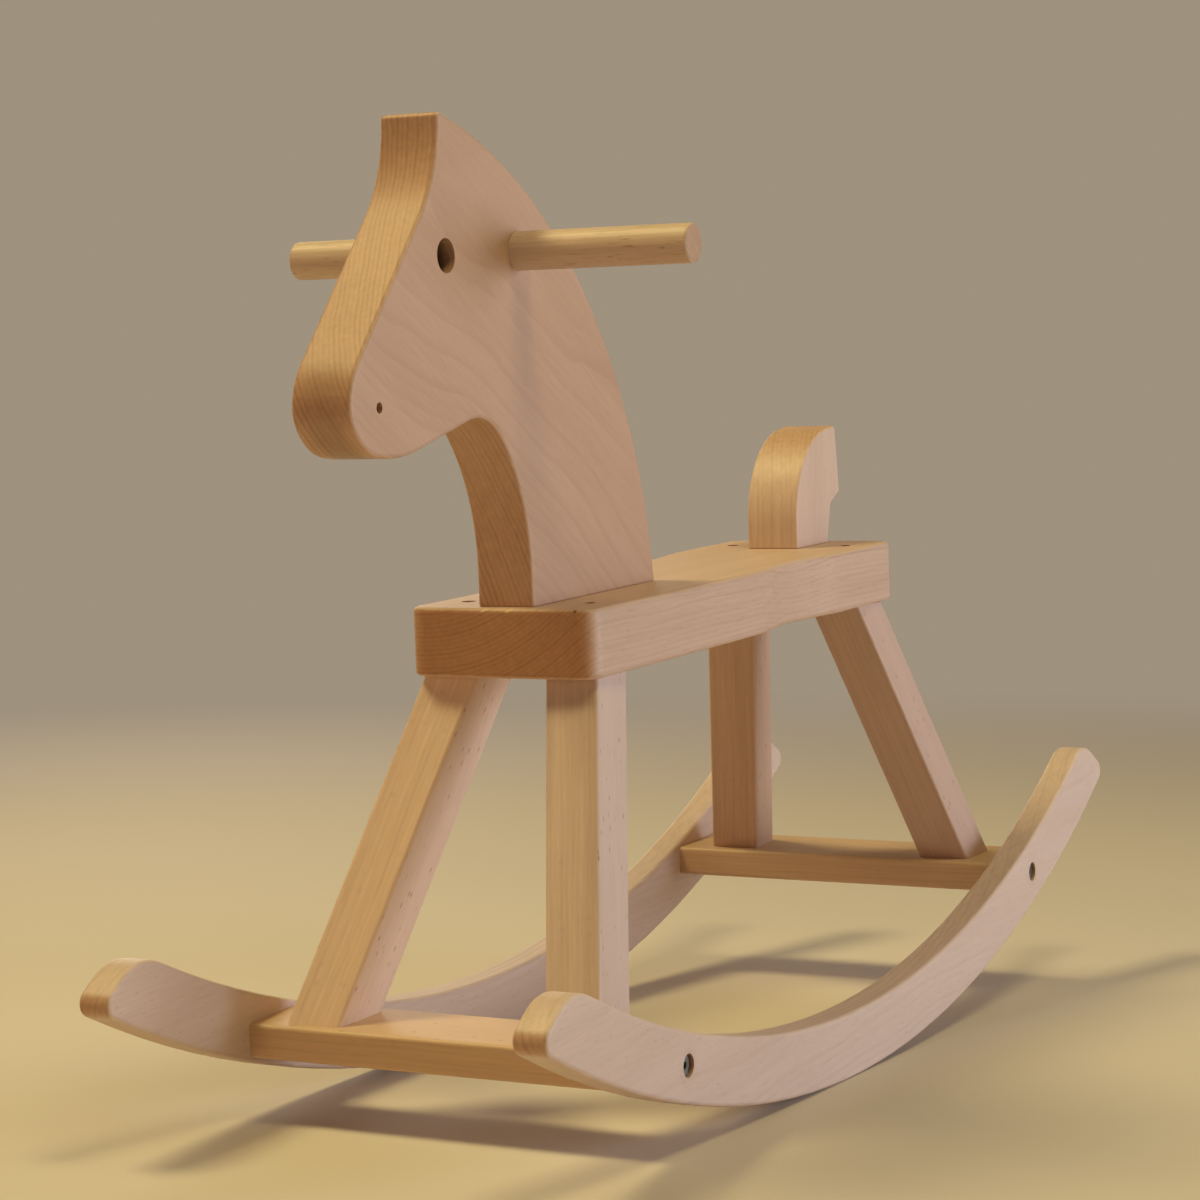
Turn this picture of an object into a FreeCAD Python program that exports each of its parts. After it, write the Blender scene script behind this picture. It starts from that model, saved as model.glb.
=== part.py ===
import FreeCAD, Part
import math
import os

# Rocking horse of solid beech. Millimetres.
# The pieces are laid out in the seat frame: x to the horse's left, y rearwards from the seat's
# front end, z up from the seat's top face. At the end the whole horse is tipped to the attitude
# in which it rests on its rockers, and set down with its lowest point on z = 0.

V = FreeCAD.Vector
X_AXIS = V(1, 0, 0)
Y_AXIS = V(0, 1, 0)
Z_AXIS = V(0, 0, 1)
TOLERANCE = 1e-3                    # for telling which edges lie where
OVERCUT = 1.0                       # how far a cutting solid reaches past the wood

# Seat board
SEAT_LENGTH = 458.0
SEAT_THICK = 40.0
SEAT_FRONT_HALF = 60.0
SEAT_REAR_HALF = 61.0
WAIST_Y = 297.0
WAIST_DEPTH = 8.0
WAIST_LENGTH = 150.0
WAIST_STEPS = 8
SEAT_CORNER_R = 12.0
SEAT_EDGE_R = 3.0

# Head and tail boards
HEAD_THICK = 36.0
HEAD_EDGE_R = 2.5
NECK_FRONT_Y = 10.0
NECK_REAR_Y = 168.0
APEX_Y = -76.2
APEX_Z = 275.0
BACK_ARC_MID = (87.7, 178.3)
APEX_EDGE_R = 2.8
EYE_Y, EYE_Z, EYE_R = -73.0, 197.9, 9.5
NOSTRIL_Y, NOSTRIL_Z, NOSTRIL_R = -148.4, 119.9, 3.0
FOOT_ALLOWANCE = 12.0               # extra length at the foot, sawn off after the edges are rounded
FOOT_EDGE_R = 1.0
FOOTPRINT_MARGIN = 1.5
TAIL_THICK = 37.0
TAIL_EDGE_R = 2.0
TAIL_FRONT_Y = 389.0
TAIL_REAR_Y = 442.5

# Handle dowel
HANDLE_R = 11.0
HANDLE_LENGTH = 254.0
HANDLE_END_R = 1.8
GLUE_RELIEF = 0.25                  # the handle is this much thinner in radius inside the head
HANDLE_Y, HANDLE_Z = 8.0, 200.5

# Rockers: planks between a lower and an upper arc that are not quite concentric
ROCKER_IN_X = 120.0
ROCKER_THICK = 20.0
ROCKER_EDGE_R = 2.5
LOWER_ARC_Y, LOWER_ARC_Z, LOWER_ARC_R = 224.0, 662.0, 964.0
UPPER_ARC_Y, UPPER_ARC_Z, UPPER_ARC_R = 216.5, 639.0, 901.0
TOE_LOW_Y, TOE_HIGH_Y = -228.0, -190.0
HEEL_LOW_Y, HEEL_HIGH_Y = 675.5, 628.0
ROCKER_LOW_CORNER_R = 8.0
ROCKER_HIGH_CORNER_R = 38.0

# Cross rails: from front edge to rear edge, with the bolts at BOLT_Y
RAIL_THICK = 20.0
RAIL_TOP_Z = -227.0
RAIL_EDGE_R = 2.5
RAIL_EDGES_Y = {"front": (-91.0, -33.0), "rear": (475.5, 541.5)}
BOLT_Y = {"front": -62.0, "rear": 504.5}

# Legs: rectangular bars, cut level at both ends. Each centre line runs from (x, y) under the seat
# to (x, y) on the rail. The section is (width, depth) square to the bar, and the turn, in degrees,
# brings the outer edge of the bar's front face forwards.
LEGS = {
    "front": ((37.7, 33.6), (80.7, -63.4), (33.5, 38.0), 2.2),
    "rear": ((40.1, 418.3), (82.1, 504.5), (35.5, 32.5), 0.0),
}
LEG_EDGE_R = 2.5

# Connector bolts through the rockers into barrel nuts in the rails
RECESS_R = 6.6
RECESS_DEPTH = 5.5
BOLT_HEAD_R = 6.3
BOLT_HEAD_THICK = 3.2
BOLT_HEAD_CHAMFER = 0.6
BOLT_R = 3.0
BOLT_LENGTH = 40.0
BOLT_SOCKET_WIDTH = 4.0
BOLT_SOCKET_DEPTH = 2.4
BARREL_R = 5.0
BARREL_LENGTH = 13.0
BARREL_X = 100.0
BARREL_HOLE_DEPTH = 16.5

# Dowel pins between each rail end and its rocker
PIN_R = 4.0
PIN_SPREAD = 18.0
PIN_IN_ROCKER = 12.0
PIN_IN_RAIL = 18.0

# Wood screws: (shank radius, length under the head, head radius, head height, recess depth)
LEG_TOP_SCREW = (2.5, 76.0, 4.3, 4.0, 12.0)
LEG_FOOT_SCREW = (2.5, 55.0, 4.3, 4.0, 8.0)
NECK_SCREW = (3.0, 80.0, 5.5, 5.0, 12.0)
TAIL_SCREW = (2.5, 65.0, 4.3, 4.0, 12.0)
SCREW_SOCKET_WIDTH = 3.0
LEG_TOP_SCREW_SHIFT = (1.3, 3.1)    # from the leg's top centre, outwards and inwards
LEG_TOP_SCREW_AIM = 0.29            # the screw points at this share of the leg's length
NECK_SCREW_Y = (45.0, 132.0)
TAIL_SCREW_Y = 416.0

# Glued dowels: (radius, length on the near side of the joint, length on the far side)
LEG_TOP_DOWEL = (4.0, 18.0, 18.0)
LEG_TOP_DOWEL_SHIFT = (-6.0, 9.0)
LEG_FOOT_DOWEL = (4.0, 18.0, 13.0)
LEG_FOOT_DOWEL_SHIFT = (-11.0, 0.0)
NECK_DOWEL = (5.0, 22.0, 28.0)
NECK_DOWEL_Y = (72.0, 104.0)
TAIL_DOWEL = (4.0, 20.0, 20.0)
TAIL_DOWEL_Y = (401.0, 431.0)

# Densities in grams per cubic millimetre, used only to find the resting attitude
BEECH_DENSITY = 0.00070
STEEL_DENSITY = 0.00785


def unit(vector):
    return vector * (1.0 / vector.Length)


def corner_path(corners, closed=False):
    """Edges of a (y, z) polyline whose corners (y, z, radius) are rounded by tangent arcs."""
    points = [V(0, y, z) for y, z, _ in corners]
    count = len(points)
    starts, ends, middles = [], [], []
    for i, (_, _, radius) in enumerate(corners):
        if radius == 0 or (not closed and i in (0, count - 1)):
            starts.append(points[i])
            ends.append(points[i])
            middles.append(None)
            continue
        back = unit(points[i - 1] - points[i])
        ahead = unit(points[(i + 1) % count] - points[i])
        half = back.getAngle(ahead) / 2
        reach = radius / math.tan(half)
        to_arc = radius / math.sin(half) - radius
        starts.append(points[i] + back * reach)
        ends.append(points[i] + ahead * reach)
        middles.append(points[i] + unit(back + ahead) * to_arc)
    edges = []
    for i in range(count):
        if middles[i] is not None:
            edges.append(Part.Arc(starts[i], middles[i], ends[i]).toShape())
        if i + 1 < count or closed:
            following = starts[(i + 1) % count]
            if (following - ends[i]).Length > TOLERANCE:
                edges.append(Part.LineSegment(ends[i], following).toShape())
    return edges


def plank(edges, x_start, thickness):
    """Board of the given thickness from x_start, with an outline of edges in the (y, z) plane."""
    wire = Part.Wire(Part.__sortEdges__(edges))
    face = Part.Face(wire)
    board = face.extrude(V(thickness, 0, 0))
    board.translate(V(x_start, 0, 0))
    return board


def round_rim(board, radius):
    """Round every edge that lies in one of the board's two flat faces."""
    return board.makeFillet(radius, [e for e in board.Edges if e.BoundBox.XLength < TOLERANCE])


def ridges_at(board, thickness, spots):
    """The edges that cross the board's thickness at the given points of its outline."""
    found = []
    for edge in board.Edges:
        middle = V(0, edge.CenterOfMass.y, edge.CenterOfMass.z)
        if edge.BoundBox.XLength > thickness - TOLERANCE:
            found += [edge for spot in spots if (middle - spot).Length < TOLERANCE]
    return found


def saw_level(board):
    """Take off what reaches below z = 0, and soften the edges of the foot."""
    box = board.BoundBox
    depth = 2 * FOOT_ALLOWANCE
    waste = Part.makeBox(box.XLength + 2 * OVERCUT, box.YLength + 2 * OVERCUT, depth,
                         V(box.XMin - OVERCUT, box.YMin - OVERCUT, -depth))
    board = board.cut(waste)
    foot = [e for e in board.Edges if max(abs(e.BoundBox.ZMin), abs(e.BoundBox.ZMax)) < TOLERANCE]
    return board.makeFillet(FOOT_EDGE_R, foot)


def rod(radius, start, end):
    """Cylinder between two points."""
    axis = end - start
    return Part.makeCylinder(radius, axis.Length, start, axis)


def hex_socket(width, depth, mouth, inward):
    """Hexagonal prism sunk from mouth along inward, for a key of the given width."""
    side = unit(inward.cross(Y_AXIS))
    other = unit(inward.cross(side))
    corner_r = width / math.sqrt(3)
    ring = []
    for step in range(7):
        turn = math.radians(60 * step)
        ring.append(mouth + side * (corner_r * math.cos(turn)) + other * (corner_r * math.sin(turn)))
    return Part.Face(Part.makePolygon(ring)).extrude(unit(inward) * depth)


def wood_screw(screw, surface, direction):
    """Screw whose recess opens at surface, and the room that it needs in the wood."""
    shank_r, length, head_r, head_height, recess = screw
    inward = unit(direction)
    seat = surface + inward * recess
    head_top = seat - inward * head_height
    tip = seat + inward * length
    body = rod(head_r, head_top, seat).fuse(rod(shank_r, seat, tip))
    body = body.cut(hex_socket(SCREW_SOCKET_WIDTH, head_height / 2, head_top, inward))
    room = rod(head_r, surface - inward * recess, seat).fuse(rod(shank_r, seat, tip))
    return body.removeSplitter(), room.removeSplitter()


# ---------------------------------------------------------------- wooden pieces

def seat_half_width(y):
    taper = SEAT_FRONT_HALF + (SEAT_REAR_HALF - SEAT_FRONT_HALF) * y / SEAT_LENGTH
    offset = abs(y - WAIST_Y)
    if offset >= WAIST_LENGTH / 2:
        return taper
    return taper - WAIST_DEPTH * math.cos(math.pi * offset / WAIST_LENGTH) ** 2


def seat_side(sign):
    """Long side of the seat: straight tapers with a smooth waist between them."""
    waist_start = WAIST_Y - WAIST_LENGTH / 2
    spots = [waist_start + WAIST_LENGTH * step / WAIST_STEPS for step in range(WAIST_STEPS + 1)]
    points = [V(sign * seat_half_width(y), y, 0) for y in spots]
    slope = (SEAT_REAR_HALF - SEAT_FRONT_HALF) / SEAT_LENGTH
    tangent = V(sign * slope, 1, 0)
    curve = Part.BSplineCurve()
    curve.interpolate(Points=points, InitialTangent=tangent, FinalTangent=tangent)
    front = Part.LineSegment(V(sign * seat_half_width(0), 0, 0), points[0]).toShape()
    rear = Part.LineSegment(points[-1], V(sign * seat_half_width(SEAT_LENGTH), SEAT_LENGTH, 0)).toShape()
    return [front, curve.toShape(), rear]


def make_seat():
    left, right = seat_side(1), seat_side(-1)
    ends = []
    for y in (0, SEAT_LENGTH):
        half = seat_half_width(y)
        ends.append(Part.LineSegment(V(-half, y, 0), V(half, y, 0)).toShape())
    outline = Part.Wire(Part.__sortEdges__(left + right + ends))
    seat = Part.Face(outline).extrude(V(0, 0, -SEAT_THICK))
    corners = [e for e in seat.Edges if e.BoundBox.ZLength > SEAT_THICK - TOLERANCE
               and min(abs(e.CenterOfMass.y), abs(e.CenterOfMass.y - SEAT_LENGTH)) < TOLERANCE]
    seat = seat.makeFillet(SEAT_CORNER_R, corners)
    rims = [e for e in seat.Edges if e.BoundBox.ZLength < TOLERANCE]
    return seat.makeFillet(SEAT_EDGE_R, rims)


def mark_footprints(seat):
    """Divide the seat's top where the head and tail boards stand, so that its free part is a face."""
    footprints = []
    for thick, front, rear in ((HEAD_THICK, NECK_FRONT_Y, NECK_REAR_Y),
                               (TAIL_THICK, TAIL_FRONT_Y, TAIL_REAR_Y)):
        width = thick + 2 * FOOTPRINT_MARGIN
        length = rear - front + 2 * FOOTPRINT_MARGIN
        corner = V(-width / 2, front - FOOTPRINT_MARGIN, 0)
        footprints.append(Part.makeBox(width, length, SEAT_THICK, corner))
    merged, _ = seat.generalFuse(footprints)
    return max(merged.Solids, key=lambda solid: solid.Volume)


def make_head():
    face = corner_path([
        (APEX_Y, APEX_Z, 0),
        (APEX_Y, 242.8, 78.0),      # forehead into the nose
        (-173.4, 137.1, 40.0),      # muzzle
        (-179.4, 115.4, 22.0),
        (-161.6, 96.1, 31.0),
        (-128.9, 91.2, 100.0),      # chin into the jaw
        (-32.1, 113.3, 35.0),       # throat
        (NECK_FRONT_Y, 63.2, 118.0),
        (NECK_FRONT_Y, -FOOT_ALLOWANCE, 0),
        (NECK_REAR_Y, -FOOT_ALLOWANCE, 0),
        (NECK_REAR_Y, 0, 0),
    ])
    back = Part.Arc(V(0, NECK_REAR_Y, 0), V(0, *BACK_ARC_MID), V(0, APEX_Y, APEX_Z)).toShape()
    head = plank(face + [back], -HEAD_THICK / 2, HEAD_THICK)
    apex_edge = ridges_at(head, HEAD_THICK, [V(0, APEX_Y, APEX_Z)])
    head = head.makeFillet(APEX_EDGE_R, apex_edge)
    head = saw_level(round_rim(head, HEAD_EDGE_R))
    for y, z, radius in ((EYE_Y, EYE_Z, EYE_R), (NOSTRIL_Y, NOSTRIL_Z, NOSTRIL_R),
                         (HANDLE_Y, HANDLE_Z, HANDLE_R)):
        head = head.cut(rod(radius, V(-HEAD_THICK, y, z), V(HEAD_THICK, y, z)))
    return head


def make_tail():
    outline = corner_path([
        (TAIL_REAR_Y, -FOOT_ALLOWANCE, 0),
        (TAIL_REAR_Y, 0, 60.0),
        (450.0, 26.3, 6.0),
        (466.4, 33.8, 1.5),         # tip over the notch
        (461.3, 80.4, 3.5),
        (TAIL_FRONT_Y, 73.3, 62.0),
        (TAIL_FRONT_Y, -FOOT_ALLOWANCE, 0),
    ], closed=True)
    tail = plank(outline, -TAIL_THICK / 2, TAIL_THICK)
    return saw_level(round_rim(tail, TAIL_EDGE_R))


def make_handle():
    """Rod through the head, waisted slightly inside it to hold glue."""
    half = HANDLE_LENGTH / 2
    handle = rod(HANDLE_R, V(-half, HANDLE_Y, HANDLE_Z), V(half, HANDLE_Y, HANDLE_Z))
    rims = [e for e in handle.Edges if e.BoundBox.XLength < TOLERANCE]
    handle = handle.makeFillet(HANDLE_END_R, rims)
    ends = (V(-HEAD_THICK / 2, HANDLE_Y, HANDLE_Z), V(HEAD_THICK / 2, HANDLE_Y, HANDLE_Z))
    relief = rod(HANDLE_R + OVERCUT, *ends).cut(rod(HANDLE_R - GLUE_RELIEF, *ends))
    return handle.cut(relief)


def leg_line(top, foot, side):
    """Centre line of a leg: its point under the seat and its point on the rail."""
    return (V(side * top[0], top[1], -SEAT_THICK), V(side * foot[0], foot[1], RAIL_TOP_Z))


def level(vector, run):
    """Slide a vector along the leg's run until it is horizontal."""
    return vector - run * (vector.z / run.z)


def make_leg(top, foot, section, turn, side):
    start, end = leg_line(top, foot, side)
    run = end - start
    across = V(math.cos(math.radians(turn)), -side * math.sin(math.radians(turn)), 0)
    depthwise = unit(run.cross(across))
    widthwise = unit(depthwise.cross(run))
    half_width = level(widthwise, run) * (section[0] / 2)
    half_depth = level(depthwise, run) * (section[1] / 2)
    signs = ((-1, -1), (1, -1), (1, 1), (-1, 1), (-1, -1))
    ring = [start + half_width * sx + half_depth * sy for sx, sy in signs]
    leg = Part.Face(Part.makePolygon(ring)).extrude(run)
    long_edges = [e for e in leg.Edges if e.BoundBox.ZLength > abs(run.z) / 2]
    return leg.makeFillet(LEG_EDGE_R, long_edges)


def make_rail(front_y, rear_y):
    rail = Part.makeBox(2 * ROCKER_IN_X, rear_y - front_y, RAIL_THICK,
                        V(-ROCKER_IN_X, front_y, RAIL_TOP_Z - RAIL_THICK))
    long_edges = [e for e in rail.Edges if e.BoundBox.XLength > ROCKER_IN_X]
    return rail.makeFillet(RAIL_EDGE_R, long_edges)


def arc_point(centre_y, centre_z, radius, y):
    return V(0, y, centre_z - math.sqrt(radius ** 2 - (y - centre_y) ** 2))


def make_rocker(side):
    lower = (LOWER_ARC_Y, LOWER_ARC_Z, LOWER_ARC_R)
    upper = (UPPER_ARC_Y, UPPER_ARC_Z, UPPER_ARC_R)
    toe_low, heel_low = arc_point(*lower, TOE_LOW_Y), arc_point(*lower, HEEL_LOW_Y)
    toe_high, heel_high = arc_point(*upper, TOE_HIGH_Y), arc_point(*upper, HEEL_HIGH_Y)
    edges = [
        Part.Arc(toe_low, arc_point(*lower, LOWER_ARC_Y), heel_low).toShape(),
        Part.LineSegment(heel_low, heel_high).toShape(),
        Part.Arc(heel_high, arc_point(*upper, UPPER_ARC_Y), toe_high).toShape(),
        Part.LineSegment(toe_high, toe_low).toShape(),
    ]
    x_start = ROCKER_IN_X if side > 0 else -ROCKER_IN_X - ROCKER_THICK
    rocker = plank(edges, x_start, ROCKER_THICK)
    low_ridges = ridges_at(rocker, ROCKER_THICK, (toe_low, heel_low))
    rocker = rocker.makeFillet(ROCKER_LOW_CORNER_R, low_ridges)
    high_ridges = ridges_at(rocker, ROCKER_THICK, (toe_high, heel_high))
    rocker = rocker.makeFillet(ROCKER_HIGH_CORNER_R, high_ridges)
    return round_rim(rocker, ROCKER_EDGE_R)


# ---------------------------------------------------------------- hidden joinery

def rocker_joint(side, bolt_y):
    """Bolt, barrel nut and pins of one rail end, with the room each needs."""
    axis_z = RAIL_TOP_Z - RAIL_THICK / 2
    outer = side * (ROCKER_IN_X + ROCKER_THICK)
    inward = V(-side, 0, 0)
    face = V(outer, bolt_y, axis_z)
    seat = face + inward * RECESS_DEPTH
    head_top = seat - inward * BOLT_HEAD_THICK
    tip = seat + inward * BOLT_LENGTH
    head = rod(BOLT_HEAD_R, head_top, seat)
    rim = [e for e in head.Edges if e.BoundBox.XLength < TOLERANCE
           and abs(e.BoundBox.XMax - head_top.x) < TOLERANCE]
    head = head.makeChamfer(BOLT_HEAD_CHAMFER, rim)
    bolt = head.fuse(rod(BOLT_R, seat, tip))
    bolt = bolt.cut(hex_socket(BOLT_SOCKET_WIDTH, BOLT_SOCKET_DEPTH, head_top, inward)).removeSplitter()

    barrel_axis = V(side * BARREL_X, bolt_y, 0)
    barrel_low = barrel_axis + V(0, 0, axis_z - BARREL_LENGTH / 2)
    barrel = rod(BARREL_R, barrel_low, barrel_low + V(0, 0, BARREL_LENGTH))
    barrel = barrel.cut(rod(BOLT_R, seat, tip))
    under = barrel_axis + V(0, 0, RAIL_TOP_Z - RAIL_THICK)
    barrel_room = rod(BARREL_R, under - V(0, 0, OVERCUT), under + V(0, 0, BARREL_HOLE_DEPTH))

    pins = []
    for shift in (-PIN_SPREAD, PIN_SPREAD):
        middle = V(side * ROCKER_IN_X, bolt_y + shift, axis_z)
        pins.append(rod(PIN_R, middle - inward * PIN_IN_ROCKER, middle + inward * PIN_IN_RAIL))
    recess = rod(RECESS_R, face - inward * RECESS_DEPTH, seat)
    return bolt, barrel, pins, [recess, rod(BOLT_R, seat, tip), barrel_room] + pins


def dowel(shape, joint, direction):
    """Glued dowel across a joint, along direction on its far side."""
    radius, near, far = shape
    along = unit(direction)
    return rod(radius, joint - along * near, joint + along * far)


def leg_joints(top, foot, side):
    """Screws and dowels at both ends of one leg, with the room for the screws."""
    start, end = leg_line(top, foot, side)
    run = end - start
    inwards = 1 if foot[1] < top[1] else -1

    mouth = V(start.x, start.y, 0) + V(side * LEG_TOP_SCREW_SHIFT[0], inwards * LEG_TOP_SCREW_SHIFT[1], 0)
    top_screw, top_room = wood_screw(LEG_TOP_SCREW, mouth, start + run * LEG_TOP_SCREW_AIM - mouth)
    beneath = end + run * (RAIL_THICK / abs(run.z))
    foot_screw, foot_room = wood_screw(LEG_FOOT_SCREW, beneath, run * -1)

    top_shift = V(side * LEG_TOP_DOWEL_SHIFT[0], inwards * LEG_TOP_DOWEL_SHIFT[1], 0)
    foot_shift = V(side * LEG_FOOT_DOWEL_SHIFT[0], inwards * LEG_FOOT_DOWEL_SHIFT[1], 0)
    top_dowel = dowel(LEG_TOP_DOWEL, start + top_shift, run)
    foot_dowel = dowel(LEG_FOOT_DOWEL, end + foot_shift, run)
    return top_screw, top_room, foot_screw, foot_room, top_dowel, foot_dowel


def upright_joint(screw, screw_spots, dowel_shape, dowel_spots):
    """Screws driven up from under the seat, and dowels, along x = 0."""
    screws, rooms, dowels = [], [], []
    for y in screw_spots:
        body, room = wood_screw(screw, V(0, y, -SEAT_THICK), Z_AXIS)
        screws.append(body)
        rooms.append(room)
    for y in dowel_spots:
        dowels.append(dowel(dowel_shape, V(0, y, 0), Z_AXIS))
    return screws, rooms, dowels


# ---------------------------------------------------------------- assembly

def build_pieces():
    """All pieces in the seat frame: wooden boards and the small parts that join them."""
    boards = {
        "seat_board": mark_footprints(make_seat()),
        "head_board": make_head(),
        "tail_board": make_tail(),
        "front_cross_rail": make_rail(*RAIL_EDGES_Y["front"]),
        "rear_cross_rail": make_rail(*RAIL_EDGES_Y["rear"]),
        "left_rocker": make_rocker(1),
        "right_rocker": make_rocker(-1),
    }
    groups = {name: [] for name in (
        "rocker_bolts", "barrel_nuts", "rail_dowels", "leg_top_screws", "leg_foot_screws",
        "leg_top_dowels", "leg_foot_dowels")}
    cuts = {name: [] for name in boards}

    for side, word in ((1, "left"), (-1, "right")):
        for end, bolt_y in BOLT_Y.items():
            bolt, barrel, pins, room = rocker_joint(side, bolt_y)
            groups["rocker_bolts"].append(bolt)
            groups["barrel_nuts"].append(barrel)
            groups["rail_dowels"] += pins
            cuts[word + "_rocker"] += room
            cuts[end + "_cross_rail"] += room

    for side, word in ((1, "left"), (-1, "right")):
        for end, (top, foot, section, turn) in LEGS.items():
            joints = leg_joints(top, foot, side)
            top_screw, top_room, foot_screw, foot_room, top_dowel, foot_dowel = joints
            groups["leg_top_screws"].append(top_screw)
            groups["leg_foot_screws"].append(foot_screw)
            groups["leg_top_dowels"].append(top_dowel)
            groups["leg_foot_dowels"].append(foot_dowel)
            leg = word + "_" + end + "_leg"
            boards[leg] = make_leg(top, foot, section, turn, side)
            cuts[leg] = [top_room, foot_room, top_dowel, foot_dowel]
            cuts["seat_board"] += [top_room, top_dowel]
            cuts[end + "_cross_rail"] += [foot_room, foot_dowel]

    for board, prefix, screw, spots, pin, pin_spots in (
            ("head_board", "neck", NECK_SCREW, NECK_SCREW_Y, NECK_DOWEL, NECK_DOWEL_Y),
            ("tail_board", "tail", TAIL_SCREW, (TAIL_SCREW_Y,), TAIL_DOWEL, TAIL_DOWEL_Y)):
        screws, rooms, dowels = upright_joint(screw, spots, pin, pin_spots)
        groups[prefix + "_screws"] = screws
        groups[prefix + "_dowels"] = dowels
        cuts[board] += rooms + dowels
        cuts["seat_board"] += rooms + dowels

    pieces = {name: board.cut(cuts[name]) if cuts[name] else board for name, board in boards.items()}
    pieces["handle_dowel"] = make_handle()
    for name, solids in groups.items():
        pieces[name] = solids[0] if len(solids) == 1 else Part.makeCompound(solids)
    return pieces


def mass_centre(pieces):
    total = 0.0
    moment = V(0, 0, 0)
    for name, shape in pieces.items():
        steel = name.endswith("screws") or name.endswith("bolts") or name.endswith("nuts")
        density = STEEL_DENSITY if steel else BEECH_DENSITY
        for solid in shape.Solids:
            mass = solid.Volume * density
            total += mass
            moment += solid.CenterOfMass * mass
    return moment * (1.0 / total), total


def resting_placement(pieces):
    """The horse rolls until its mass centre is plumb under the centre of the lower rocker arc."""
    centre, mass = mass_centre(pieces)
    lean = math.degrees(math.atan2(LOWER_ARC_Y - centre.y, LOWER_ARC_Z - centre.z))
    tilt = FreeCAD.Rotation(X_AXIS, lean)
    rockers = Part.makeCompound([pieces["left_rocker"], pieces["right_rocker"]])
    rockers.Placement = FreeCAD.Placement(V(0, 0, 0), tilt)
    box = rockers.optimalBoundingBox(False, False)
    arc_centre = tilt.multVec(V(0, LOWER_ARC_Y, LOWER_ARC_Z))
    drop = V(0, -(box.YMin + box.YMax) / 2, LOWER_ARC_R - arc_centre.z)
    print("mass %.2f kg, lean %.3f deg, drop %.3f %.3f, contact y %.2f" % (
        mass / 1000, lean, drop.y, drop.z, arc_centre.y + drop.y))
    return FreeCAD.Placement(drop, tilt)


def main():
    os.makedirs("parts", exist_ok=True)
    pieces = build_pieces()
    placement = resting_placement(pieces)
    for name, shape in pieces.items():
        placed = shape.copy()
        placed.Placement = placement.multiply(placed.Placement)
        assert placed.isValid(), name
        placed.exportStep("parts/" + name + ".step")
        print("%-18s solids %d volume %.0f" % (name, len(placed.Solids), placed.Volume))


main()
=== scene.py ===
import math

import bpy
from mathutils import Matrix, Vector


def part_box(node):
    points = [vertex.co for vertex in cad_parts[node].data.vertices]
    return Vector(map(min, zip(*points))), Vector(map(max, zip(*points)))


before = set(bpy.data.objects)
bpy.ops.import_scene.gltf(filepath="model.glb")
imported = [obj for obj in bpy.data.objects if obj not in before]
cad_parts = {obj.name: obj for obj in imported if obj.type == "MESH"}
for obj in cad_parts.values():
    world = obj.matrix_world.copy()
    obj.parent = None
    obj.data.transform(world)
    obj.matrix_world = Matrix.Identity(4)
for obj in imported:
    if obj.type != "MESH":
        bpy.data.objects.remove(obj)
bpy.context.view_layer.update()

# Rocking horse of oiled beech, in metres. It faces -Y, its left is +X, and it stands on z = 0.
# Every board keeps its CAD mesh. The wood is a solid texture: each board has its own log, so
# growth rings, rays and pores run through it and meet correctly at its edges and end grain.

MM = 0.001

# The seat frame: x to the horse's left, y rearwards from the seat's front end, z up from the
# seat's top. At rest it leans forward, and its origin stands at SEAT_FRONT.
LEAN = math.radians(3.678)
SEAT_FRONT = Vector((0.0, -0.2350, 0.2890))

# Places in the seat frame, in millimetres
EYE = (0.0, -73.0, 197.9)
NOSTRIL = (0.0, -148.4, 119.9)
FOREHEAD_SCRATCH = (-3.0, -76.2, 254.7)
SEAT_EDGE_NICKS = ((-9.0, 0.8, -1.0), (7.0, 0.8, -1.0))
SEAT_CORNER_KNOCK = (49.0, 1.2, -1.2)
BOLT_RECESS_X = 134.0
BOLT_RECESS_Y = (-62.0, 504.5)
BOLT_RECESS_Z = -237.0

# Camera: low, in front of the horse and to its left
CAMERA_PLACE = (0.8196, -1.7169, 0.3594)
CAMERA_HEADING = math.radians(26.671)
CAMERA_TILT = math.radians(-2.105)
CAMERA_ROLL = math.radians(-0.443)
CAMERA_SENSOR = 36.0
CAMERA_LENS = 89.82
CAMERA_SHIFT = (-0.0133, -0.0055)

# Wood colours, linear
EARLY_WOOD = (0.640, 0.435, 0.270)
LATE_WOOD = (0.475, 0.285, 0.150)
FLECK = (0.300, 0.150, 0.075)
END_TINT = (0.760, 0.570, 0.400)
# Painted highlight on the rounded edges
RIM_HIGHLIGHT = (0.760, 0.560, 0.370)
# Dark colour of the forehead scratch and the knock on the seat, and painted shade in the bolt recesses
SCRATCH_AND_SHADE = (0.160, 0.070, 0.025)
# Painted shade inside the eye and the nostril
HOLLOW_SHADE = (0.020, 0.010, 0.006)
FRESH_WOOD = (0.800, 0.600, 0.370)

# What each board's colour is multiplied by. These are fitted to how the boards look under the lights
# below, so they hold painted light and shade, part of the light's colour and brightness, as well as the
# wood's own tone.
HEAD_TINT = (0.88, 0.82, 0.97)
TAIL_TINT = (1.07, 1.15, 1.58)
SEAT_TINT = (0.97, 0.99, 1.30)
ROCKER_TINT = (1.06, 1.20, 1.78)
RAIL_TINT = (0.98, 0.98, 1.10)
HANDLE_TINT = (0.98, 1.10, 1.48)
LEG_TINTS = {
    "left_front_leg": (1.00, 1.12, 1.66),
    "right_front_leg": (1.26, 1.38, 1.86),
    "left_rear_leg": (0.90, 0.92, 1.30),
    "right_rear_leg": (0.92, 0.90, 1.15),
}

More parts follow.
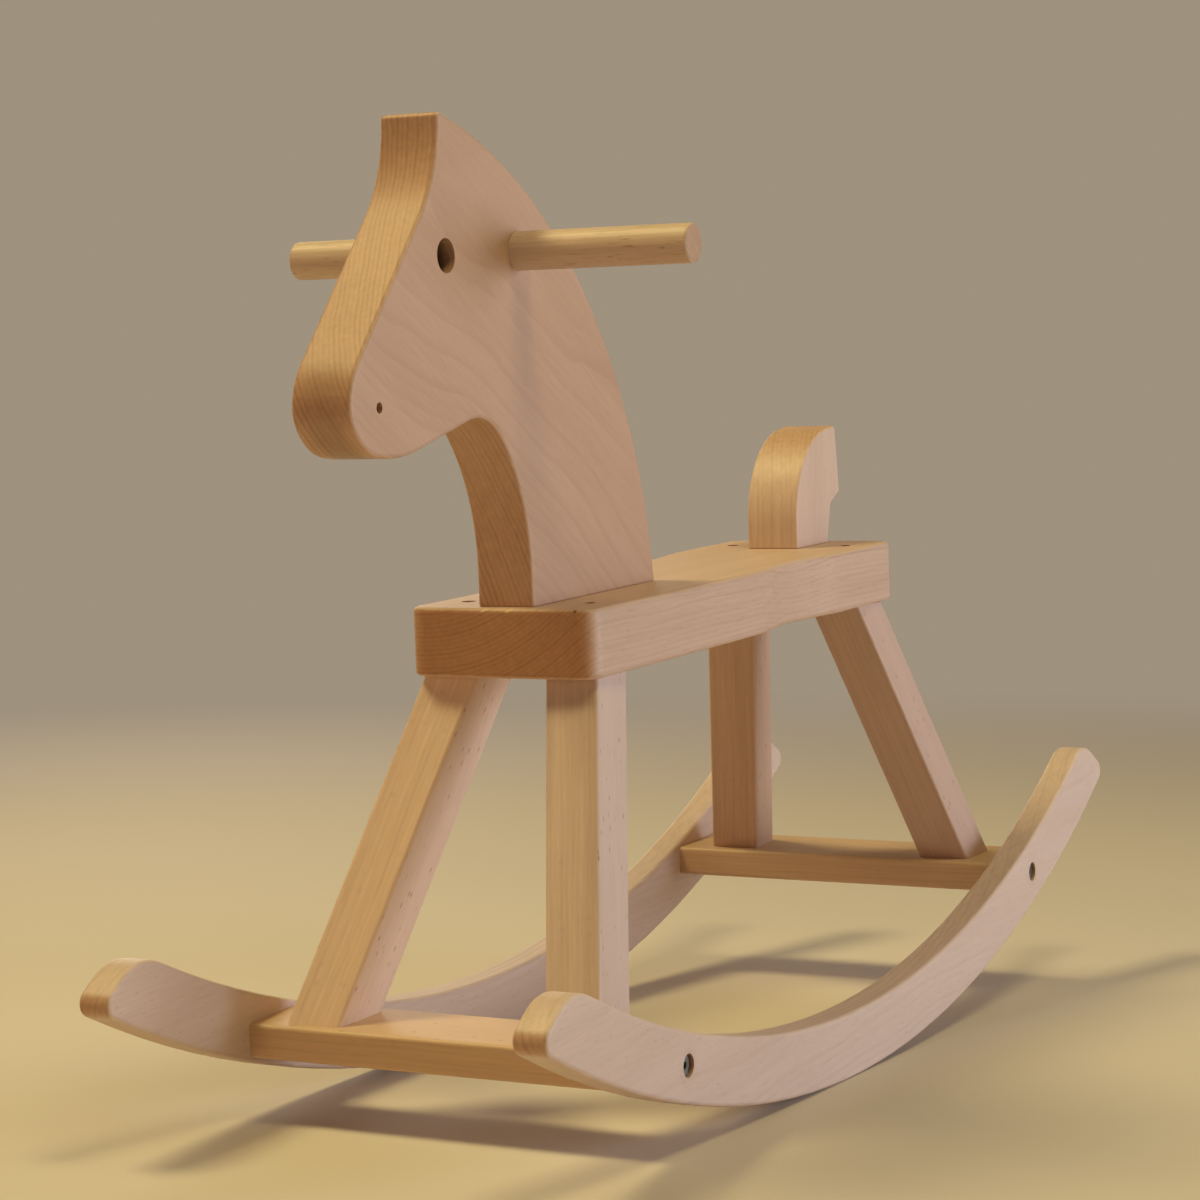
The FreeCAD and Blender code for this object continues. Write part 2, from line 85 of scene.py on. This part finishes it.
# Noise scales per metre in the log's frame: twice across the grain, then along it
SLOW_BEND_SCALE = (7.0, 7.0, 5.5)
QUICK_BEND_SCALE = (60.0, 60.0, 9.0)
BROAD_TONE_SCALE = (28.0, 28.0, 3.0)
STREAK_SCALE = (260.0, 260.0, 6.0)
PORE_SCALE = (1000.0, 1000.0, 70.0)
FIBRE_SCALE = (1400.0, 1400.0, 45.0)
RAY_SCALE = (300.0, 95.0, 22.0)          # round the log, along it, and out from the pith

# Zinc plate
ZINC_DARK = (0.15, 0.145, 0.14)
ZINC_LIGHT = (0.26, 0.25, 0.24)
ZINC_CLOUD_SCALE = 900.0
ZINC_GRIT_SCALE = 6000.0

# Studio
FLOOR = (0.660, 0.580, 0.510)
FLOOR_HALF = 30.0
FLOOR_FADE = (1.1, 3.4)                  # distances between which the floor fades into the horizon
HORIZON = (0.345, 0.285, 0.210)
ZENITH = (0.070, 0.040, 0.008)
SKY_FADE = (0.16, 0.40)                  # sines of the elevations between which it becomes the zenith
KEY_COLOUR = (1.0, 0.86, 0.40)
LIGHT_TARGET = (0.0, -0.05, 0.25)
LIGHTS = (                               # name, place, diameter, watts, colour
    ("high_key", (-1.2, -0.7, 2.7), 0.9, 45.0, KEY_COLOUR),
    ("high_right", (0.9, -0.5, 2.7), 0.9, 22.0, KEY_COLOUR),
    ("cool_side", (2.5, 1.0, 0.55), 1.5, 38.0, (0.86, 0.93, 1.0)),
    ("warm_bounce", (-0.4, -2.4, 0.25), 1.4, 4.5, (1.0, 0.34, 0.0)),
    ("back_fill", (-2.0, 2.2, 1.2), 1.6, 14.0, (1.0, 0.85, 0.68)),
)


# ---------------------------------------------------------------- places on the horse

def leaning(direction):
    """A direction given in the seat frame, turned into the row frame."""
    return Matrix.Rotation(LEAN, 3, "X") @ Vector(direction)


def on_horse(x, y, z):
    """A point given in the seat frame in millimetres, in the row frame."""
    return leaning((x * MM, y * MM, z * MM)) + SEAT_FRONT


def centre(node):
    low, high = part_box(node)
    return (low + high) / 2


# ---------------------------------------------------------------- node helpers

def new_material(name):
    material = bpy.data.materials.new(name)
    material.use_nodes = True
    nodes = material.node_tree.nodes
    return material, nodes, material.node_tree.links, nodes["Principled BSDF"]


def math_node(tree, operation, *operands):
    """A Math node; each operand is a number or a socket."""
    node = tree.nodes.new("ShaderNodeMath")
    node.operation = operation
    for socket, operand in zip(node.inputs, operands):
        if isinstance(operand, (int, float)):
            socket.default_value = operand
        else:
            tree.links.new(operand, socket)
    return node.outputs[0]


def plus(tree, first, second):
    return math_node(tree, "ADD", first, second)


def minus(tree, first, second):
    return math_node(tree, "SUBTRACT", first, second)


def times(tree, first, second):
    return math_node(tree, "MULTIPLY", first, second)


def times_plus(tree, first, second, third):
    """first * second + third"""
    return math_node(tree, "MULTIPLY_ADD", first, second, third)


def vector_node(tree, operation, socket, fixed=None):
    """The outputs of a Vector Math node on a socket and, unless it takes only one, a fixed vector."""
    node = tree.nodes.new("ShaderNodeVectorMath")
    node.operation = operation
    tree.links.new(socket, node.inputs[0])
    if fixed is not None:
        node.inputs[1].default_value = fixed
    return node.outputs


def scaled(tree, vector, scale):
    return vector_node(tree, "MULTIPLY", vector, scale)["Vector"]


def mix_colour(tree, factor, first, second, blend="MIX"):
    node = tree.nodes.new("ShaderNodeMix")
    node.data_type = "RGBA"
    node.blend_type = blend
    for socket, value in ((node.inputs[0], factor), (node.inputs[6], first), (node.inputs[7], second)):
        if isinstance(value, (int, float)):
            socket.default_value = value
        elif isinstance(value, tuple):
            socket.default_value = (*value, 1.0)
        else:
            tree.links.new(value, socket)
    return node.outputs[2]


def noise(tree, vector, scale=1.0, detail=2.0, roughness=0.5):
    node = tree.nodes.new("ShaderNodeTexNoise")
    tree.links.new(vector, node.inputs["Vector"])
    node.inputs["Scale"].default_value = scale
    node.inputs["Detail"].default_value = detail
    node.inputs["Roughness"].default_value = roughness
    return node.outputs["Fac"]


def remap(tree, value, low, high, to_low=0.0, to_high=1.0):
    """A smooth step from to_low at the value low to to_high at the value high; low may be the larger."""
    node = tree.nodes.new("ShaderNodeMapRange")
    node.interpolation_type = "SMOOTHSTEP"
    tree.links.new(value, node.inputs["Value"])
    for name, number in (("From Min", low), ("From Max", high), ("To Min", to_low), ("To Max", to_high)):
        node.inputs[name].default_value = number
    return node.outputs["Result"]


def add_bump(tree, shader, height, strength, depth):
    bump = tree.nodes.new("ShaderNodeBump")
    bump.inputs["Strength"].default_value = strength
    bump.inputs["Distance"].default_value = depth
    tree.links.new(height, bump.inputs["Height"])
    tree.links.new(bump.outputs["Normal"], shader.inputs["Normal"])


# ---------------------------------------------------------------- wood

def growth_rings(tree, given, log, radius):
    """Late wood, from 0 to 1, by distance from the pith. The rings wander slowly along the grain,
    darken towards their outer edge and end sharply, and some are fainter than others."""
    slow = minus(tree, noise(tree, scaled(tree, log, SLOW_BEND_SCALE), detail=1.0), 0.5)
    quick = minus(tree, noise(tree, scaled(tree, log, QUICK_BEND_SCALE), detail=2.0), 0.5)
    wander = plus(tree, times(tree, slow, 4.0), times(tree, quick, 0.35))
    bent = times_plus(tree, wander, given["Wander"], radius)
    ring = math_node(tree, "DIVIDE", bent, given["Ring"])
    phase = math_node(tree, "FRACT", ring)
    late = times(tree, remap(tree, phase, 0.25, 0.90), remap(tree, phase, 1.0, 0.93))

    number = tree.nodes.new("ShaderNodeTexWhiteNoise")
    number.noise_dimensions = "1D"
    tree.links.new(math_node(tree, "FLOOR", ring), number.inputs["W"])
    vigour = times_plus(tree, number.outputs["Value"], 0.75, 0.25)
    vigour = math_node(tree, "POWER", vigour, times_plus(tree, given["Flat"], 1.6, 1.0))
    return times(tree, late, vigour)


def ray_flecks(tree, given, across, aside, along, radius):
    """Rays, from 0 to 1: radial sheets, seen end-on as short dark flecks."""
    polar = tree.nodes.new("ShaderNodeCombineXYZ")
    around = times(tree, math_node(tree, "ARCTAN2", aside, across), radius)
    for socket, value in zip(polar.inputs, (around, along, radius)):
        tree.links.new(value, socket)
    cells = tree.nodes.new("ShaderNodeTexVoronoi")
    cells.inputs["Scale"].default_value = 1.0
    tree.links.new(scaled(tree, polar.outputs[0], RAY_SCALE), cells.inputs["Vector"])
    chance = tree.nodes.new("ShaderNodeSeparateColor")
    tree.links.new(cells.outputs["Color"], chance.inputs[0])
    lens = times(tree, remap(tree, cells.outputs["Distance"], 0.24, 0.08),
                 remap(tree, chance.outputs[0], 0.30, 0.75))
    shown = times_plus(tree, given["Flat"], 0.85, 0.15)
    return times(tree, lens, times(tree, shown, given["Flecks"]))


def wood_colour(tree, given, log, late, fibre, streak, fleck, pore):
    """Rings and broad tones, then fibre lines and the board's tint, then flecks, ends and a painted
    highlight on the rims.
    """
    clear = times_plus(tree, given["Flat"], -0.45, 1.0)
    clear = times_plus(tree, given["End"], 0.8, clear)
    ringed = times(tree, late, times(tree, clear, given["Contrast"]))
    colour = mix_colour(tree, ringed, EARLY_WOOD, LATE_WOOD)
    broad = remap(tree, noise(tree, scaled(tree, log, BROAD_TONE_SCALE), detail=3.0), 0.35, 0.68)
    colour = mix_colour(tree, times(tree, broad, 0.22), colour, LATE_WOOD)

    lines = times(tree, minus(tree, streak, 0.5), times_plus(tree, given["Flat"], -0.24, 0.32))
    level = plus(tree, times_plus(tree, fibre, 0.26, lines), 0.87)
    shade = tree.nodes.new("ShaderNodeCombineColor")
    for socket in shade.inputs:
        tree.links.new(level, socket)
    colour = mix_colour(tree, 1.0, colour, shade.outputs[0], "MULTIPLY")
    colour = mix_colour(tree, 1.0, colour, given["Tint"], "MULTIPLY")

    colour = mix_colour(tree, times(tree, fleck, 0.75), colour, FLECK)
    colour = mix_colour(tree, times(tree, pore, 0.5), colour, FLECK)
    darker = mix_colour(tree, 1.0, colour, END_TINT, "MULTIPLY")
    colour = mix_colour(tree, given["End"], colour, darker)
    # Painted highlight round the rounded edges, stronger along the grain's streaks
    painted_rim_highlight = times(tree, given["Rim"], times(tree, streak, 0.4))
    return mix_colour(tree, painted_rim_highlight, colour, RIM_HIGHLIGHT)


def wood_group():
    """Solid beech. Its vector is in the log's own frame: z along the grain, the pith on the z axis."""
    tree = bpy.data.node_groups.new("solid_beech", "ShaderNodeTree")
    sockets = tree.interface
    sockets.new_socket("Vector", in_out="INPUT", socket_type="NodeSocketVector")
    sockets.new_socket("Tint", in_out="INPUT", socket_type="NodeSocketColor")
    for name in ("Ring", "Wander", "Contrast", "Flecks", "Pores", "Flat", "End", "Rim"):
        sockets.new_socket(name, in_out="INPUT", socket_type="NodeSocketFloat")
    sockets.new_socket("Colour", in_out="OUTPUT", socket_type="NodeSocketColor")
    sockets.new_socket("Roughness", in_out="OUTPUT", socket_type="NodeSocketFloat")
    sockets.new_socket("Height", in_out="OUTPUT", socket_type="NodeSocketFloat")
    given = tree.nodes.new("NodeGroupInput").outputs
    result = tree.nodes.new("NodeGroupOutput").inputs

    log = given["Vector"]
    split = tree.nodes.new("ShaderNodeSeparateXYZ")
    tree.links.new(log, split.inputs[0])
    across, aside, along = split.outputs
    radius = math_node(tree, "SQRT", plus(tree, times(tree, across, across), times(tree, aside, aside)))

    late = growth_rings(tree, given, log, radius)
    fleck = ray_flecks(tree, given, across, aside, along, radius)
    fibre = noise(tree, scaled(tree, log, FIBRE_SCALE), detail=3.0, roughness=0.6)
    streak = noise(tree, scaled(tree, log, STREAK_SCALE), detail=2.0, roughness=0.55)
    pore = remap(tree, noise(tree, scaled(tree, log, PORE_SCALE), detail=1.0), 0.62, 0.74)
    pore = times(tree, pore, given["Pores"])
    tree.links.new(wood_colour(tree, given, log, late, fibre, streak, fleck, pore), result["Colour"])

    rough = times_plus(tree, fibre, 0.16, 0.40)
    tree.links.new(times_plus(tree, given["End"], 0.12, rough), result["Roughness"])
    height = minus(tree, minus(tree, times(tree, fibre, 0.5), fleck), pore)
    tree.links.new(times_plus(tree, late, 0.25, height), result["Height"])
    return tree


WOOD = wood_group()


def marked(tree, base, place, colour, strength, spot, direction, length, width):
    """The base colour with a short line of another colour in it, fading at its ends and sides.

    The spot is in the seat frame, the direction in the row frame, and lengths are in millimetres.
    """
    along = Vector(direction).normalized()
    offset = vector_node(tree, "SUBTRACT", place, on_horse(*spot))["Vector"]
    lengthwise = vector_node(tree, "DOT_PRODUCT", offset, along / (length / 2 * MM))["Value"]
    sideways = vector_node(tree, "CROSS_PRODUCT", offset, along / (width / 2 * MM))["Vector"]
    ends = remap(tree, math_node(tree, "ABSOLUTE", lengthwise), 1.0, 0.2)
    sides = remap(tree, vector_node(tree, "LENGTH", sideways)["Value"], 1.0, 0.3)
    return mix_colour(tree, times(tree, times(tree, ends, sides), strength), base, colour)


def wood_material(name, middle, to_pith, grain, ring=3.0, wander=4.0, contrast=0.6, flecks=0.5, pores=0.2,
                  end=1.0, rim=(1, 0, 0), tint=(1.0, 1.0, 1.0), marks=()):
    """Beech cut from a log whose pith passes through middle + to_pith, along the grain.

    The rings' width and wander are in millimetres, and contrast, flecks, pores and end say from
    0 to 1 how strongly each shows. The rim axis is square to the board's broad faces: the surface
    turns away from it round the rounded edges, which get a painted highlight. Each mark has the arguments
    of marked().
    """
    material, nodes, links, shader = new_material(name)
    tree = material.node_tree
    along = Vector(grain).normalized()
    outward = -Vector(to_pith)
    outward = (outward - along * outward.dot(along)).normalized()
    log_axes = Matrix((outward, along.cross(outward), along))      # rows: the log's x, y and z

    place = nodes.new("ShaderNodeTexCoord").outputs["Object"]
    to_log = nodes.new("ShaderNodeMapping")
    to_log.vector_type = "POINT"
    to_log.inputs["Rotation"].default_value = log_axes.to_euler("XYZ")
    to_log.inputs["Location"].default_value = -(log_axes @ (Vector(middle) + Vector(to_pith)))
    links.new(place, to_log.inputs["Vector"])

    normal = nodes.new("ShaderNodeNewGeometry").outputs["Normal"]

    def facing(axis):
        """How squarely the surface faces along the axis, from 0 to 1."""
        return math_node(tree, "ABSOLUTE", vector_node(tree, "DOT_PRODUCT", normal, axis)["Value"])

    # Round the rounded edges, where the painted highlight goes
    turned = math_node(tree, "POWER", facing(Vector(rim)), 2.0)
    turned = times(tree, turned, minus(tree, 1.0, turned))

    wood = nodes.new("ShaderNodeGroup")
    wood.node_tree = WOOD
    links.new(to_log.outputs[0], wood.inputs["Vector"])
    links.new(remap(tree, facing(along), 0.45, 0.98, 0.0, end), wood.inputs["End"])
    links.new(remap(tree, turned, 0.12, 0.24), wood.inputs["Rim"])
    # Surfaces that lie along the rings show soft figure and dark flecks, the others fine clear lines
    links.new(remap(tree, facing(outward), 0.35, 0.92), wood.inputs["Flat"])
    wood.inputs["Tint"].default_value = (*tint, 1.0)
    wood.inputs["Contrast"].default_value = contrast
    wood.inputs["Flecks"].default_value = flecks
    wood.inputs["Pores"].default_value = pores
    wood.inputs["Ring"].default_value = ring * MM
    wood.inputs["Wander"].default_value = wander * MM

    colour = wood.outputs["Colour"]
    for mark in marks:
        colour = marked(tree, colour, place, **mark)
    links.new(colour, shader.inputs["Base Color"])
    links.new(wood.outputs["Roughness"], shader.inputs["Roughness"])
    add_bump(tree, shader, wood.outputs["Height"], strength=0.35, depth=0.08 * MM)
    shader.inputs["IOR"].default_value = 1.46
    return material


# ---------------------------------------------------------------- steel

def steel_material(name):
    """Dull zinc plate: cloudy grey with fine grit."""
    material, nodes, links, shader = new_material(name)
    tree = material.node_tree
    place = nodes.new("ShaderNodeTexCoord").outputs["Object"]
    cloud = noise(tree, place, ZINC_CLOUD_SCALE, detail=3.0)
    grit = noise(tree, place, ZINC_GRIT_SCALE, detail=2.0)
    links.new(mix_colour(tree, cloud, ZINC_DARK, ZINC_LIGHT), shader.inputs["Base Color"])
    links.new(remap(tree, cloud, 0.3, 0.7, 0.42, 0.60), shader.inputs["Roughness"])
    add_bump(tree, shader, grit, strength=0.25, depth=0.02 * MM)
    shader.inputs["Metallic"].default_value = 1.0
    return material


# ---------------------------------------------------------------- dressing the CAD nodes

def dress(node, material):
    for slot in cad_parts[node].material_slots:
        slot.link = "OBJECT"
        slot.material = material


def dress_wood(node, to_pith, grain, **looks):
    """Give a node its own log; to_pith goes from the node's centre to the pith."""
    dress(node, wood_material(node + "_beech", centre(node), to_pith, grain, **looks))


def dress_head():
    """The grain slants down from the muzzle to the neck. Painted shade darkens the eye and the nostril
    inwards.
    """
    marks = [dict(colour=SCRATCH_AND_SHADE, strength=0.75, spot=FOREHEAD_SCRATCH, direction=(17, 0, 9),
                  length=19.0, width=1.5)]
    # Painted shade inside the eye and the nostril, darkest deep in the hole
    for hole in (EYE, NOSTRIL):
        marks.append(dict(colour=HOLLOW_SHADE, strength=0.97, spot=hole, direction=(1, 0, 0),
                          length=35.0, width=70.0))
    dress_wood("head_board", (0.41, 0.055, 0.085), leaning((0.0, 0.84, -0.54)), ring=3.1, wander=7.0,
               contrast=0.75, flecks=0.12, end=0.30, tint=HEAD_TINT, marks=marks)


def dress_tail():
    dress_wood("tail_board", (0.30, 0.10, 0.0), leaning((0.0, 0.06, 1.0)), ring=3.2, wander=3.0,
               contrast=0.35, flecks=0.25, end=0.6, tint=TAIL_TINT)


def dress_seat():
    """The pith is above the seat and to its right, so arcs of rings show in the front end."""
    marks = [dict(colour=FRESH_WOOD, strength=0.8, spot=nick, direction=(1, 0.5, 0.3),
                  length=8.0, width=2.2) for nick in SEAT_EDGE_NICKS]
    marks.append(dict(colour=SCRATCH_AND_SHADE, strength=1.0, spot=SEAT_CORNER_KNOCK, direction=(0, 1, 0),
                      length=4.0, width=2.6))
    dress_wood("seat_board", leaning((-0.055, 0.0, 0.135)), leaning((0.015, 1.0, 0.0)), ring=2.6,
               wander=2.0, contrast=0.42, flecks=0.40, pores=0.5, rim=(0, 0, 1), tint=SEAT_TINT,
               marks=marks)


def dress_leg(node, side, rearwards):
    """The grain runs down the leg, outwards and away from the middle of the seat."""
    down = leaning((0.042 * side, 0.09 * rearwards, -0.187))
    dress_wood(node, (0.17 * side, 0.05 * rearwards, 0.0), down, ring=3.4, wander=3.0, contrast=0.22,
               flecks=1.0, end=0.8, tint=LEG_TINTS[node])


def dress_rocker(node, side):
    """Painted shade darkens the recesses of the bolt heads inwards."""
    marks = [dict(colour=SCRATCH_AND_SHADE, strength=0.95, spot=(BOLT_RECESS_X * side, y, BOLT_RECESS_Z),
                  direction=(1, 0, 0), length=14.0, width=30.0) for y in BOLT_RECESS_Y]
    dress_wood(node, (0.22 * side, 0.0, 0.12), leaning((0.0, 1.0, 0.0)), ring=3.6, wander=5.0,
               contrast=0.35, flecks=0.28, end=0.8, tint=ROCKER_TINT, marks=marks)


def dress_rail(node):
    dress_wood(node, (0.0, 0.06, -0.18), (1.0, 0.01, 0.0), ring=3.0, wander=2.5, contrast=0.30,
               flecks=0.9, end=0.8, rim=(0, 0, 1), tint=RAIL_TINT)


def dress_handle():
    dress_wood("handle_dowel", (0.0, 0.05, 0.06), (1.0, 0.015, 0.01), ring=2.4, wander=1.2,
               contrast=0.55, flecks=0.7, pores=1.0, end=0.7, tint=HANDLE_TINT)


def dress_fasteners():
    """Dowels and steel, which are nearly all hidden in the wood."""
    for node in ("rail_dowels", "leg_top_dowels", "leg_foot_dowels", "neck_dowels", "tail_dowels"):
        grain = (1, 0, 0) if node == "rail_dowels" else (0, 0, 1)
        dress_wood(node, (0.0, 0.03, 0.0), grain, ring=2.0, wander=1.0)
    zinc = steel_material("zinc_plate")
    for node in ("rocker_bolts", "barrel_nuts", "leg_top_screws", "leg_foot_screws", "neck_screws",
                 "tail_screws"):
        dress(node, zinc)


def dress_horse():
    dress_head()
    dress_tail()
    dress_seat()
    for word, side in (("right", -1), ("left", 1)):
        dress_leg(word + "_front_leg", side, -1)
        dress_leg(word + "_rear_leg", side, 1)
        dress_rocker(word + "_rocker", side)
    dress_rail("front_cross_rail")
    dress_rail("rear_cross_rail")
    dress_handle()
    dress_fasteners()


# ---------------------------------------------------------------- floor, light, camera

def make_floor():
    """A pale floor that passes into the colour of the horizon all round."""
    mesh = bpy.data.meshes.new("floor")
    corners = [(x * FLOOR_HALF, y * FLOOR_HALF, 0) for x, y in ((-1, -1), (1, -1), (1, 1), (-1, 1))]
    mesh.from_pydata(corners, [], [(0, 1, 2, 3)])
    floor = bpy.data.objects.new("floor", mesh)
    bpy.context.scene.collection.objects.link(floor)
    material, nodes, links, shader = new_material("pale_floor")
    tree = material.node_tree
    shader.inputs["Base Color"].default_value = (*FLOOR, 1.0)
    shader.inputs["Roughness"].default_value = 0.7
    place = nodes.new("ShaderNodeTexCoord").outputs["Object"]
    distance = vector_node(tree, "LENGTH", place)["Value"]
    haze = nodes.new("ShaderNodeEmission")
    haze.inputs["Color"].default_value = (*HORIZON, 1.0)
    blend = nodes.new("ShaderNodeMixShader")
    links.new(remap(tree, distance, *FLOOR_FADE), blend.inputs[0])
    links.new(shader.outputs[0], blend.inputs[1])
    links.new(haze.outputs[0], blend.inputs[2])
    links.new(blend.outputs[0], nodes["Material Output"].inputs["Surface"])
    mesh.materials.append(material)


def make_world():
    """A pale band round the horizon, under a dim ceiling."""
    world = bpy.data.worlds.new("studio")
    world.use_nodes = True
    tree = world.node_tree
    direction = tree.nodes.new("ShaderNodeTexCoord").outputs["Generated"]
    split = tree.nodes.new("ShaderNodeSeparateXYZ")
    tree.links.new(direction, split.inputs[0])
    height = remap(tree, math_node(tree, "ABSOLUTE", split.outputs["Z"]), *SKY_FADE)
    tree.links.new(mix_colour(tree, height, HORIZON, ZENITH), tree.nodes["Background"].inputs["Color"])
    bpy.context.scene.world = world


def make_lights():
    """Round lamps, all aimed near the middle of the horse."""
    for name, place, diameter, watts, colour in LIGHTS:
        data = bpy.data.lights.new(name, "AREA")
        data.shape = "DISK"
        data.size = diameter
        data.energy = watts
        data.color = colour
        lamp = bpy.data.objects.new(name, data)
        lamp.location = place
        aim = Vector(LIGHT_TARGET) - Vector(place)
        lamp.rotation_euler = aim.to_track_quat("-Z", "Y").to_euler()
        bpy.context.scene.collection.objects.link(lamp)


def make_camera():
    data = bpy.data.cameras.new("camera")
    data.sensor_width = CAMERA_SENSOR
    data.lens = CAMERA_LENS
    data.shift_x, data.shift_y = CAMERA_SHIFT
    camera = bpy.data.objects.new("camera", data)
    turn = (Matrix.Rotation(CAMERA_HEADING, 4, "Z") @ Matrix.Rotation(math.pi / 2 + CAMERA_TILT, 4, "X")
            @ Matrix.Rotation(CAMERA_ROLL, 4, "Z"))
    camera.matrix_world = Matrix.Translation(CAMERA_PLACE) @ turn
    bpy.context.scene.collection.objects.link(camera)
    bpy.context.scene.camera = camera


dress_horse()
make_floor()
make_world()
make_lights()
make_camera()
bpy.context.scene.view_settings.view_transform = "Standard"
